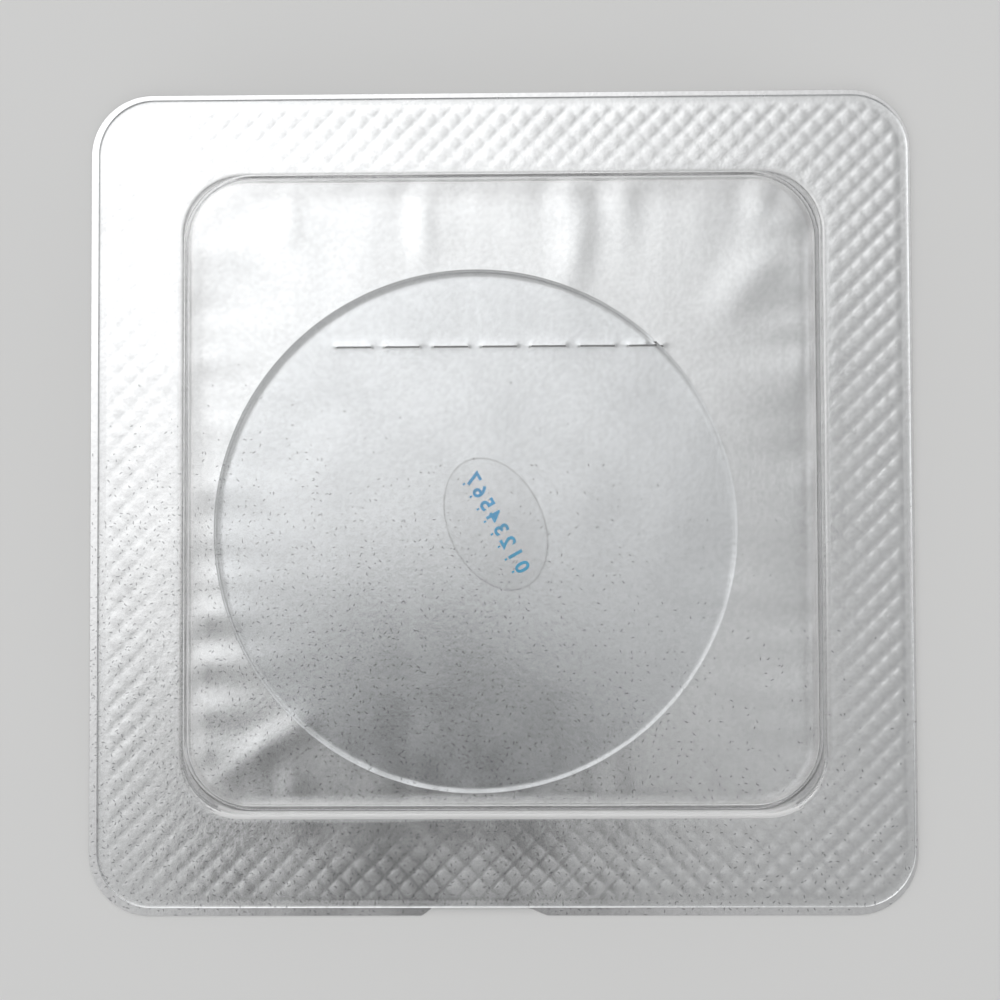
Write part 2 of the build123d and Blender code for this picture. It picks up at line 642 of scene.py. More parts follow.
@dataclass
class Effects:
    """Shader node groups that several finishes share, each built once."""

    dash_shortest: float = 0.08
    dash_longer: float = 0.24
    dash_half_width: float = 0.085
    dash_bow: float = 0.05
    dash_edge: Ramp = Ramp(0.5, 1.3)
    line_squash: float = 0.04
    line_detail: float = 3.0
    speck_detail: float = 2.0
    cloud: Ramp = Ramp(0.25, 0.8)
    cloud_detail: float = 2.0
    cloud_roughness: float = 0.45
    cloud_distortion: float = 0.3

    def __post_init__(self) -> None:
        """Builds the groups."""
        self.flecks = self._flecks()
        self.grain = self._grain()
        self.smears = self._smears()

    def _flecks(self) -> Tree:
        """Short dark dashes and dots, each turned its own way, as a mask.

        Returns:
            The group, with inputs Vector, Size and Amount.
        """
        nodes, given, mask = new_group(
            "flecks",
            "ShaderNodeTree",
            [("Vector", VECTOR, None), ("Size", FLOAT, 0.001), ("Amount", FLOAT, 0.5)],
            ("Mask", FLOAT),
        )
        frequency = nodes.math("DIVIDE", 1.0, given["Size"])
        cells = nodes.add(
            "ShaderNodeTexVoronoi", {"voronoi_dimensions": "2D"}, Vector=given["Vector"], Scale=frequency
        ).outputs
        chance = nodes.add("ShaderNodeSeparateColor", Color=cells["Color"]).outputs
        turned = nodes.add(
            "ShaderNodeVectorRotate",
            {"rotation_type": "Z_AXIS"},
            Vector=nodes.vector("SUBTRACT", given["Vector"], cells["Position"]),
            Angle=nodes.math("MULTIPLY", chance["Red"], 2.0 * math.pi),
        )
        place = nodes.split(turned.outputs[0])
        half_length = nodes.math("MULTIPLY_ADD", chance["Blue"], self.dash_longer, self.dash_shortest)
        along = nodes.math("DIVIDE", nodes.math("MULTIPLY", place["X"], frequency), half_length)
        bend = nodes.math("MULTIPLY", nodes.math("MULTIPLY", along, along), self.dash_bow)
        across = nodes.math("MULTIPLY_ADD", place["Y"], frequency, bend)
        across = nodes.math("DIVIDE", across, self.dash_half_width)
        reach = nodes.math("ADD", nodes.math("POWER", along, 2.0), nodes.math("POWER", across, 2.0))
        dash = nodes.ramp(reach, self.dash_edge, 1.0, 0.0)
        kept = nodes.math("LESS_THAN", chance["Green"], given["Amount"])
        nodes.feed(mask, nodes.math("MULTIPLY", dash, kept, clamp=True))
        return nodes.tree

    def _grain(self) -> Tree:
        """Fine height for rolled metal: long rolling lines over a soft grain.

        Returns:
            The group, with inputs Vector, Line Width and Line Share.
        """
        nodes, given, height = new_group(
            "rolled_grain",
            "ShaderNodeTree",
            [("Vector", VECTOR, None), ("Line Width", FLOAT, 0.0001), ("Line Share", FLOAT, 0.5)],
            ("Height", FLOAT),
        )
        squash = (1.0, self.line_squash, 1.0)
        stretched = nodes.add("ShaderNodeMapping", Vector=given["Vector"], Scale=squash).outputs[0]
        frequency = nodes.math("DIVIDE", 1.0, given["Line Width"])
        lines, specks = (
            nodes.add("ShaderNodeTexNoise", Vector=place, Scale=frequency, Detail=detail).outputs["Fac"]
            for place, detail in ((stretched, self.line_detail), (given["Vector"], self.speck_detail))
        )
        mixed = nodes.add("ShaderNodeMix", {"data_type": "FLOAT"})
        nodes.fill(mixed, {0: given["Line Share"], 2: specks, 3: lines})
        nodes.feed(height, mixed.outputs[0])
        return nodes.tree

    def _smears(self) -> Tree:
        """Faint cloudy marks from handling, as a mask.

        Returns:
            The group, with inputs Vector and Size.
        """
        nodes, given, mask = new_group(
            "smears", "ShaderNodeTree", [("Vector", VECTOR, None), ("Size", FLOAT, 0.005)], ("Mask", FLOAT)
        )
        cloud = nodes.add(
            "ShaderNodeTexNoise",
            Vector=given["Vector"],
            Scale=nodes.math("DIVIDE", 1.0, given["Size"]),
            Detail=self.cloud_detail,
            Roughness=self.cloud_roughness,
            Distortion=self.cloud_distortion,
        )
        nodes.feed(mask, nodes.ramp(cloud.outputs["Fac"], self.cloud, 0.0, 1.0))
        return nodes.tree


class Surface(Nodes):
    """The nodes of a new material, with the object's coordinates."""

    def __init__(self, name: str) -> None:
        """Starts the material.

        Args:
            name: Its name.
        """
        self.material = bpy.data.materials.new(name)
        self.material.use_nodes = True
        super().__init__(self.material.node_tree)
        self.place = self.add("ShaderNodeTexCoord").outputs["Object"]

    def smear(self, effects: Effects, size: float) -> Socket:
        """Mask of smears of a size on the object."""
        return self.group(effects.smears, Vector=self.place, Size=size)

    def finish(self, **inputs: object) -> Material:
        """Feeds the main shader.

        Args:
            **inputs: Values or sockets for its inputs, by name with _ for a space.

        Returns:
            The material.
        """
        self.fill(self.tree.nodes["Principled BSDF"], inputs)
        return self.material


@dataclass(frozen=True)
class FoilFinish:
    """Satin aluminium foil under a thin coat, flecked toward the card's lower left."""

    name: str
    colour: Colour = (0.87, 0.875, 0.88)
    fleck_colour: Colour = (0.34, 0.34, 0.35)
    smooth: float = 0.2
    rough: float = 0.26
    smear_size: float = 4.0 * MM
    grain: float = 0.45
    grain_height: float = 0.01 * MM
    line_width: float = 0.28 * MM
    line_share: float = 0.12
    mottle: Ramp = Ramp(0.35, 0.65)
    mottle_shade: float = 0.94
    fleck_size: float = 0.42 * MM
    fleck_share: float = 0.8
    fleck_most: float = 0.8
    fleck_way: Place = (-0.8, -1.0, 0.0)
    fleck_run: Ramp = Ramp(-14.0 * MM, 30.0 * MM)
    fleck_top: Ramp = Ramp(-4.0 * MM, 9.0 * MM)
    pressed_rough: float = 0.1
    sealed: Ramp = Ramp(0.0, 0.04)
    sealed_smooth: float = 0.07
    coat: float = 0.25
    coat_rough: float = 0.18

    def build(self, effects: Effects) -> Material:
        """Makes the material.

        Args:
            effects: The shared node groups.

        Returns:
            The material.
        """
        foil = Surface(self.name)
        place = foil.place
        toward_corner = foil.vector("DOT_PRODUCT", place, self.fleck_way)
        amount = foil.ramp(toward_corner, self.fleck_run, 0.0, self.fleck_most)
        below_top = foil.ramp(foil.split(place)["Y"], self.fleck_top, 1.0, 0.0)
        amount = foil.math("MULTIPLY", amount, below_top)
        fleck = foil.group(effects.flecks, Vector=place, Size=self.fleck_size, Amount=amount)
        fleck = foil.math("MULTIPLY", fleck, self.fleck_share)
        grain = foil.group(
            effects.grain, Vector=place, Line_Width=self.line_width, Line_Share=self.line_share
        )
        shade = tuple(self.mottle_shade * c for c in self.colour)
        clean = foil.mix(foil.ramp(grain, self.mottle, 0.0, 1.0), shade, self.colour)
        rough = foil.ramp(foil.smear(effects, self.smear_size), WHOLE, self.smooth, self.rough)
        rough = foil.math("MULTIPLY_ADD", foil.attribute(PRESSED), self.pressed_rough, rough)
        sealed = foil.ramp(foil.attribute(SEAL_SHARE), self.sealed, 0.0, 1.0)
        return foil.finish(
            Base_Color=foil.mix(fleck, clean, self.fleck_colour),
            Metallic=1.0,
            Roughness=foil.math("MULTIPLY_ADD", sealed, -self.sealed_smooth, rough),
            Normal=foil.bump(grain, self.grain, self.grain_height),
            Coat_Weight=self.coat,
            Coat_Roughness=self.coat_rough,
        )


@dataclass(frozen=True)
class ClearFinish:
    """Clear plastic or crystal that light passes through."""

    name: str
    colour: Colour
    index: float
    smooth: float
    rough: float
    smear_size: float = 8.0 * MM
    wave_size: float = 3.0 * MM
    wave_height: float = 0.05 * MM
    wave: float = 0.1
    haze: float = 0.0
    coat: float = 0.0
    coat_rough: float = 0.1
    coat_index: float = 1.6

    def build(self, effects: Effects) -> Material:
        """Makes the material.

        Args:
            effects: The shared node groups.

        Returns:
            The material.
        """
        clear = Surface(self.name)
        smear = clear.smear(effects, self.smear_size)
        wave = clear.add("ShaderNodeTexNoise", Vector=clear.place, Scale=1.0 / self.wave_size, Detail=1.0)
        return clear.finish(
            Base_Color=self.colour,
            Roughness=clear.ramp(smear, WHOLE, self.smooth, self.rough),
            Normal=clear.bump(wave.outputs["Fac"], self.wave, self.wave_height),
            IOR=self.index,
            Transmission_Weight=1.0 - self.haze,
            Coat_Weight=self.coat,
            Coat_Roughness=self.coat_rough,
            Coat_IOR=self.coat_index,
        )


@dataclass(frozen=True)
class FilmFinish:
    """Thin clear film that barely shows on what it sticks to."""

    name: str
    colour: Colour
    thin: float
    thick: float
    roughness: float = 0.12
    smear_size: float = 1.2 * MM

    def build(self, effects: Effects) -> Material:
        """Makes the material.

        Args:
            effects: The shared node groups.

        Returns:
            The material.
        """
        film = Surface(self.name)
        smear = film.smear(effects, self.smear_size)
        return film.finish(
            Base_Color=self.colour,
            Alpha=film.ramp(smear, WHOLE, self.thin, self.thick),
            Roughness=film.ramp(smear, WHOLE, self.roughness, 2 * self.roughness),
        )


@dataclass(frozen=True)
class InkFinish:
    """Blue print that pales towards one end of its row."""

    name: str
    start: Pair
    run: Pair
    length: float
    fresh: Colour = (0.0, 0.58, 1.0)
    pale: Colour = (0.04, 0.46, 0.92)
    worn: Colour = (0.1, 0.6, 0.9)
    worn_share: float = 0.2
    smear_size: float = 0.5 * MM
    smooth: float = 0.3
    rough: float = 0.45
    sheen: float = 0.75

    def build(self, effects: Effects) -> Material:
        """Makes the material.

        Args:
            effects: The shared node groups.

        Returns:
            The material.
        """
        ink = Surface(self.name)
        from_start = ink.vector("SUBTRACT", ink.place, (*self.start, 0.0))
        along = ink.vector("DOT_PRODUCT", from_start, (*self.run, 0.0))
        colour = ink.mix(ink.ramp(along, Ramp(0.0, self.length), 0.0, 1.0), self.fresh, self.pale)
        smear = ink.smear(effects, self.smear_size)
        return ink.finish(
            Base_Color=ink.mix(ink.math("MULTIPLY", smear, self.worn_share), colour, self.worn),
            Roughness=ink.ramp(smear, WHOLE, self.smooth, self.rough),
            Metallic=self.sheen,
        )


def knurl_tree() -> Tree:
    """Geometry Nodes that press a waffle of ridges and beads into a sheet, as deep as its share says.

    Returns:
        The tree, with inputs for the waffle's sizes and the material of the faces in the first slot.
    """
    nodes, given, result = new_group(
        "seal_knurl",
        "GeometryNodeTree",
        [
            ("Geometry", GEOMETRY, None),
            ("Pitch", FLOAT, 1.0 * MM),
            ("Depth", FLOAT, 0.1 * MM),
            ("Fullness", FLOAT, 2.0),
            ("Beading", FLOAT, 0.4),
            ("Material", MATERIAL, None),
        ],
        ("Geometry", GEOMETRY),
    )
    place = nodes.split(nodes.add("GeometryNodeInputPosition").outputs[0])
    reach = nodes.math("MULTIPLY", given["Pitch"], ROOT_TWO)
    hills = []
    for operation in ("ADD", "SUBTRACT"):
        across = nodes.math(operation, place["Y"], place["X"])
        cell = nodes.math("FRACT", nodes.math("DIVIDE", across, reach))
        off_middle = nodes.math("ABSOLUTE", nodes.math("MULTIPLY_ADD", cell, 2.0, -1.0))
        hills.append(nodes.math("SUBTRACT", 1.0, nodes.math("POWER", off_middle, given["Fullness"])))
    between = nodes.math("SUBTRACT", 1.0, given["Beading"])
    beads = nodes.math("MULTIPLY_ADD", hills[0], given["Beading"], between)
    share = nodes.add("GeometryNodeInputNamedAttribute", {"data_type": "FLOAT"}, Name=SEAL_SHARE)
    raised = nodes.math("MULTIPLY", nodes.math("MULTIPLY", beads, hills[1]), share.outputs["Attribute"])
    offset = nodes.add("ShaderNodeCombineXYZ", Z=nodes.math("MULTIPLY", raised, given["Depth"]))
    stored = nodes.add(
        "GeometryNodeStoreNamedAttribute",
        {"data_type": "FLOAT", "domain": "POINT"},
        Geometry=given["Geometry"],
        Name=PRESSED,
        Value=raised,
    )
    moved = nodes.add("GeometryNodeSetPosition", Geometry=stored.outputs[0], Offset=offset.outputs[0])
    slot = nodes.add("GeometryNodeInputMaterialIndex")
    first = nodes.add("FunctionNodeCompare", {"data_type": "INT", "operation": "EQUAL"})
    nodes.feed(first.inputs[2], slot.outputs[0])
    dressed = nodes.dress(moved.outputs[0], given["Material"], Selection=first.outputs[0])
    nodes.feed(result, dressed)
    return nodes.tree


def run_tree(piece: Piece, tree: Tree, values: dict[str, object]) -> None:
    """Runs a Geometry Nodes tree on a piece and keeps its result as the piece's plain mesh.

    Args:
        piece: The piece.
        tree: The tree.
        values: The tree's inputs by name.
    """
    modifier = piece.modifiers.new(tree.name, "NODES")
    modifier.node_group = tree
    for item in tree.interface.items_tree:
        if item.in_out == "INPUT" and item.name in values:
            modifier[item.identifier] = values[item.name]
    depsgraph = bpy.context.evaluated_depsgraph_get()
    plain = bpy.data.meshes.new_from_object(piece.evaluated_get(depsgraph))
    piece.modifiers.remove(modifier)
    before = piece.data
    piece.data = plain
    bpy.data.meshes.remove(before)


@dataclass
class Seal:
    """The heat seal: where its waffle shows and how deep it is."""

    flange: RoundedBox
    pocket: RoundedBox
    lattice: Lattice = Lattice()
    depth: float = 0.026 * MM
    fullness: float = 2.2
    beading: float = 0.8
    rim_margin: float = 0.5 * MM
    foot_margin: float = 0.4 * MM
    fine_margin: float = 0.2 * MM
    edge: Ramp = Ramp(0.0, 0.25 * MM)
    foot: Ramp = Ramp(0.0, 3.4 * MM)
    foot_power: float = 1.5
    upward: Ramp = Ramp(-19.0 * MM, 22.0 * MM)
    rightward: Ramp = Ramp(-12.0 * MM, 6.0 * MM)
    left: Ramp = Ramp(-22.0 * MM, -14.0 * MM)
    bottom: Ramp = Ramp(-23.0 * MM, -14.0 * MM)
    foot_share: Pair = (0.08, 0.58)
    right_foot_share: float = 0.35
    left_share: float = 0.45
    bottom_left_share: float = 0.6
    press_noise: Waviness = Waviness((6.0 * MM, 6.0 * MM), 3.7)
    press_level: float = 0.9
    press_gain: float = 0.15
    press_least: float = 0.45

    def share(self, points: Array) -> Array:
        """How far the waffle shows at each place.

        Args:
            points: Places in plan.

        Returns:
            Shares from 0 to 1.
        """
        from_rim = -self.flange.distance(points) - self.rim_margin
        from_foot = self.pocket.distance(points) - self.foot_margin
        share = self.edge.at(from_rim) * self.edge.at(from_foot)
        within = np.flatnonzero(share > 0)
        x, y = points[within].T
        right = self.rightward.at(x)
        at_foot = np.maximum(self.upward.between(y, *self.foot_share), self.right_foot_share * right)
        side = self.left.between(x, self.left_share, 1.0)
        side *= self.bottom.between(y, self.rightward.between(x, self.bottom_left_share, 1.0), 1.0)
        near = at_foot + (1.0 - at_foot) * self.foot.at(from_foot[within]) ** self.foot_power
        press = self.press_level + self.press_gain * self.press_noise.at(points[within])
        share[within] *= side * near * np.clip(press, self.press_least, 1.0)
        return share

    def knurled(self, points: Array) -> Array:
        """True where the waffle shows, or close to it.

        Args:
            points: Places in plan.

        Returns:
            One truth for each place.
        """
        off_rim = -self.flange.distance(points) > self.rim_margin - self.fine_margin
        return off_rim & (self.pocket.distance(points) > self.foot_margin - self.fine_margin)

    def press(self, piece: Piece, tree: Tree, material: Material) -> None:
        """Presses the waffle into a piece.

        Args:
            piece: The piece.
            tree: The knurl's Geometry Nodes.
            material: The material of the piece's first slot.
        """
        values = {
            "Pitch": self.lattice.pitch,
            "Depth": self.depth,
            "Fullness": self.fullness,
            "Beading": self.beading,
            "Material": material,
        }
        run_tree(piece, tree, values)


@dataclass(frozen=True)
class Crease:
    """One soft fold in the foil, from a start to an end in plan."""

    start: Pair
    end: Pair
    height: float
    width: float
    ends: Pair = (0.02, 0.98)

    def rise(self, points: Array) -> Array:
        """Height of the fold at each place.

        Args:
            points: Places in plan.

        Returns:
            One height for each place.
        """
        start = np.array(self.start)
        run = np.array(self.end) - start
        share = np.clip((points - start) @ run / (run @ run), 0.0, 1.0)
        off = np.linalg.norm(points - start - share[:, None] * run, axis=1)
        across = np.exp(-((off / self.width) ** 2))
        return self.height * across * np.sin(math.pi * np.clip(share, *self.ends))


@dataclass(frozen=True)
class FoilWaves:
    """The foil's soft waves, ripples and folds under the pocket."""

    limit: float = 0.145 * MM
    level: float = 0.06 * MM
    broad: Waviness = Waviness((13.0 * MM, 11.0 * MM), 1.3)
    broad_height: float = 0.03 * MM
    small: Waviness = Waviness((3.6 * MM, 4.4 * MM), 8.9)
    small_height: float = 0.006 * MM
    ripple_x: Waviness = Waviness((1.7 * MM, 9.0 * MM), 5.1)
    ripple_y: Waviness = Waviness((9.0 * MM, 1.7 * MM), 6.4)
    ripple_height: float = 0.12 * MM
    ripple_reach: float = 2.6 * MM
    corner: Ramp = Ramp(0.0, 1.2 * MM)
    bottom: Ramp = Ramp(-9.0 * MM, -13.0 * MM)
    bottom_calm: float = 0.45
    edge: Ramp = Ramp(0.0, 1.3 * MM)
    creases: tuple[Crease, ...] = (
        Crease((18.4 * MM, 17.4 * MM), (12.6 * MM, 10.2 * MM), 0.06 * MM, 1.3 * MM),
        Crease((-18.4 * MM, -17.6 * MM), (-10.5 * MM, -12.4 * MM), 0.06 * MM, 0.9 * MM),
        Crease((-5.1 * MM, 19.4 * MM), (-4.4 * MM, 13.9 * MM), 0.06 * MM, 0.7 * MM),
        Crease((5.6 * MM, 19.4 * MM), (4.1 * MM, 12.2 * MM), 0.07 * MM, 1.0 * MM),
        Crease((-13.0 * MM, 19.3 * MM), (-12.6 * MM, 15.2 * MM), 0.05 * MM, 0.6 * MM),
    )

    def rise(self, place: Array, pocket: RoundedBox) -> Array:
        """Height of the foil over its flat.

        Args:
            place: Places in plan, all under the pocket.
            pocket: The pocket's outline.

        Returns:
            Heights from 0 to the limit.
        """
        wave = self.level + self.broad_height * self.broad.at(place)
        wave += self.small_height * self.small.at(place)
        reach = pocket.half[0] - np.abs(place - np.array(pocket.centre))
        upright = reach[:, 1] < reach[:, 0]
        ripple = np.where(upright, self.ripple_x.at(place), self.ripple_y.at(place))
        fade = np.exp(-np.where(upright, reach[:, 1], reach[:, 0]) / self.ripple_reach)
        corner = self.corner.at(np.abs(reach[:, 0] - reach[:, 1]))
        calm = 1.0 - self.bottom_calm * self.bottom.at(place[:, 1]) * upright
        wave = wave + self.ripple_height * ripple * fade * corner * calm
        for crease in self.creases:
            wave = wave + crease.rise(place)
        return np.clip(wave, 0.0, self.limit) * self.edge.at(-pocket.distance(place))


@dataclass
class LidSheet:
    """The foil lid: slit, notched, knurled along the seal and softly wavy under the pocket."""

    seal: Seal
    outline: RoundedBox
    top: float
    bottom: float = 0.0
    edge_steps: tuple[int, int] = (140, 16)
    notch_width: float = 6.1 * MM
    notch_steep_run: float = 0.2 * MM
    notch_taper_run: float = 1.05 * MM
    notch_shift: float = 1.4 * MM
    notch_depth: float = 0.45 * MM
    slit_count: int = 7
    slit_pitch: float = 2.96 * MM
    slit_length: float = 2.1 * MM
    slit_width: float = 0.12 * MM
    slit_row_y: float = 9.348 * MM
    slit_steps: tuple[int, int] = (10, 4)
    slit_guides: Pair = (0.08 * MM, 0.22 * MM)
    slit_margin: float = 0.3 * MM
    lip: float = 0.05 * MM
    lip_reach: float = 0.16 * MM
    lip_side: Ramp = Ramp(-0.05 * MM, 0.05 * MM)
    low_lip_share: float = 0.25
    margin: float = 0.09 * MM
    crease_angle: float = 40.0
    waves: FoilWaves = FoilWaves()
    finishes: tuple[FoilFinish, ...] = (
        FoilFinish("lacquered_foil"),
        FoilFinish("primed_foil", smooth=0.36, rough=0.5, fleck_share=0.35, coat=0.5),
        FoilFinish("cut_foil", smooth=0.2, rough=0.3, fleck_share=0.1, coat=0.0),
    )

    class Slot(IntEnum):
        """Material slots, in the order of the finishes."""

        LACQUERED = 0
        PRIMED = 1
        CUT = 2

    def notch_rise(self, x: Array) -> Array:
        """How far the bottom edge is cut back at each place along it.

        Args:
            x: The places.

        Returns:
            One depth for each place.
        """
        left = -self.notch_shift - self.notch_width / 2
        right = -self.notch_shift + self.notch_width / 2
        places = [left - self.notch_steep_run, left, right, right + self.notch_taper_run]
        return np.interp(x, places, [0.0, self.notch_depth, self.notch_depth, 0.0])

    def edge_loop(self) -> Array:
        """Outline of the lid with its peel notch.

        Returns:
            Points, counter-clockwise.
        """
        loop = self.outline.loop(*self.edge_steps)
        bottom_run = np.abs(loop[:, 1] - self.outline.low_side) < LEVEL_REACH
        loop[bottom_run, 1] += self.notch_rise(loop[bottom_run, 0])
        return loop

    def slits(self, grown: float) -> list[RoundedBox]:
        """Outlines of the slits, moved outwards by an amount.

        Args:
            grown: The amount.

        Returns:
            One outline for each slit.
        """
        width = self.slit_width / 2 + grown
        half = (self.slit_length / 2 + grown, width)
        first = -(self.slit_count - 1) / 2
        centres = [((first + row) * self.slit_pitch, self.slit_row_y) for row in range(self.slit_count)]
        return [RoundedBox(centre, half, width) for centre in centres]

    def slit_distance(self, points: Array) -> Array:
        """Distance of each place from the nearest slit's edge, negative in a slit."""
        return np.min([slit.distance(points) for slit in self.slits(0.0)], axis=0)

    def rise(self, points: Array) -> Array:
        """Height of the foil's waves, folds and slit lips over its flat.

        Args:
            points: Places in plan.

        Returns:
            Heights from 0 to the waves' limit.
        """
        height = np.zeros(len(points))
        rows = np.flatnonzero(-self.seal.pocket.distance(points) > 0)
        place = points[rows]
        slit = self.slit_distance(place)
        side = self.lip_side.between(place[:, 1] - self.slit_row_y, self.low_lip_share, 1.0)
        lip = self.lip * np.exp(-np.maximum(slit, 0.0) / self.lip_reach) * side
        height[rows] = np.minimum(self.waves.rise(place, self.seal.pocket) + lip, self.waves.limit)
        return height

    def on_lid(self, places: Array, margin: float) -> Array:
        """Which places are above the bottom edge and its notch, by more than a margin."""
        return places[:, 1] > self.outline.low_side + self.notch_rise(places[:, 0]) + margin

    def spacing_at(self, places: Array) -> Array:
        """Fine squares where the lid is knurled and coarse ones elsewhere.

        Args:
            places: Places in plan.

        Returns:
            A Spacing value for each place.
        """
        free = -self.outline.distance(places) > self.margin
        free &= self.on_lid(places, self.margin)
        free &= self.slit_distance(places) > self.slit_margin
        spacing = np.where(self.seal.knurled(places), Spacing.FINE.value, Spacing.COARSE.value)
        return np.where(free, spacing, Spacing.NONE.value)

    def plan(self) -> Plan:
        """The flat lid, cut to its outline and slits.

        Returns:
            The cut sheet.
        """
        cuts = [slit.loop(*self.slit_steps) for slit in self.slits(0.0)]
        guides = [slit.loop(*self.slit_steps) for grown in self.slit_guides for slit in self.slits(grown)]
        plan = cut_plan(
            self.seal.lattice,
            [self.edge_loop(), *cuts, *guides],
            self.spacing_at,
            lambda places: self.on_lid(places, 0.0) & (self.slit_distance(places) > 0),
        )
        plan.loops = plan.loops[: 1 + len(cuts)]
        return plan

    def build(self, tree: Tree, effects: Effects) -> Piece:
        """Makes the lid and dresses it.

        Args:
            tree: The knurl's Geometry Nodes.
            effects: The shared node groups.

        Returns:
            The piece.
        """
        plan = self.plan()
        share = self.seal.share(plan.points)
        rise = self.rise(plan.points)
        parts = MeshParts()
        upper = parts.add_points(plan.points, self.top + rise, share)
        lower = parts.add_points(plan.points, self.bottom + rise, share)
        parts.add_plan(plan, upper, False, self.Slot.LACQUERED)
        parts.add_plan(plan, lower, True, self.Slot.PRIMED)
        for number, loop in enumerate(plan.loops):
            parts.bridge(lower[loop], upper[loop], number > 0, self.Slot.CUT)
        materials = [finish.build(effects) for finish in self.finishes]
        piece = parts.build("foil_lid", materials)
        self.seal.press(piece, tree, materials[self.Slot.LACQUERED])
        finish_shading(piece, self.crease_angle)
        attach(piece, "lid")
        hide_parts("lid_foil", "heat_seal_lacquer", "lid_primer")
        return piece


@dataclass(frozen=True)
class PocketFace:
    """One face of the pocket: how far in it lies, the fillets at its foot and roof, and its side."""

    inset: float
    foot: float
    roof: float
    inner: bool


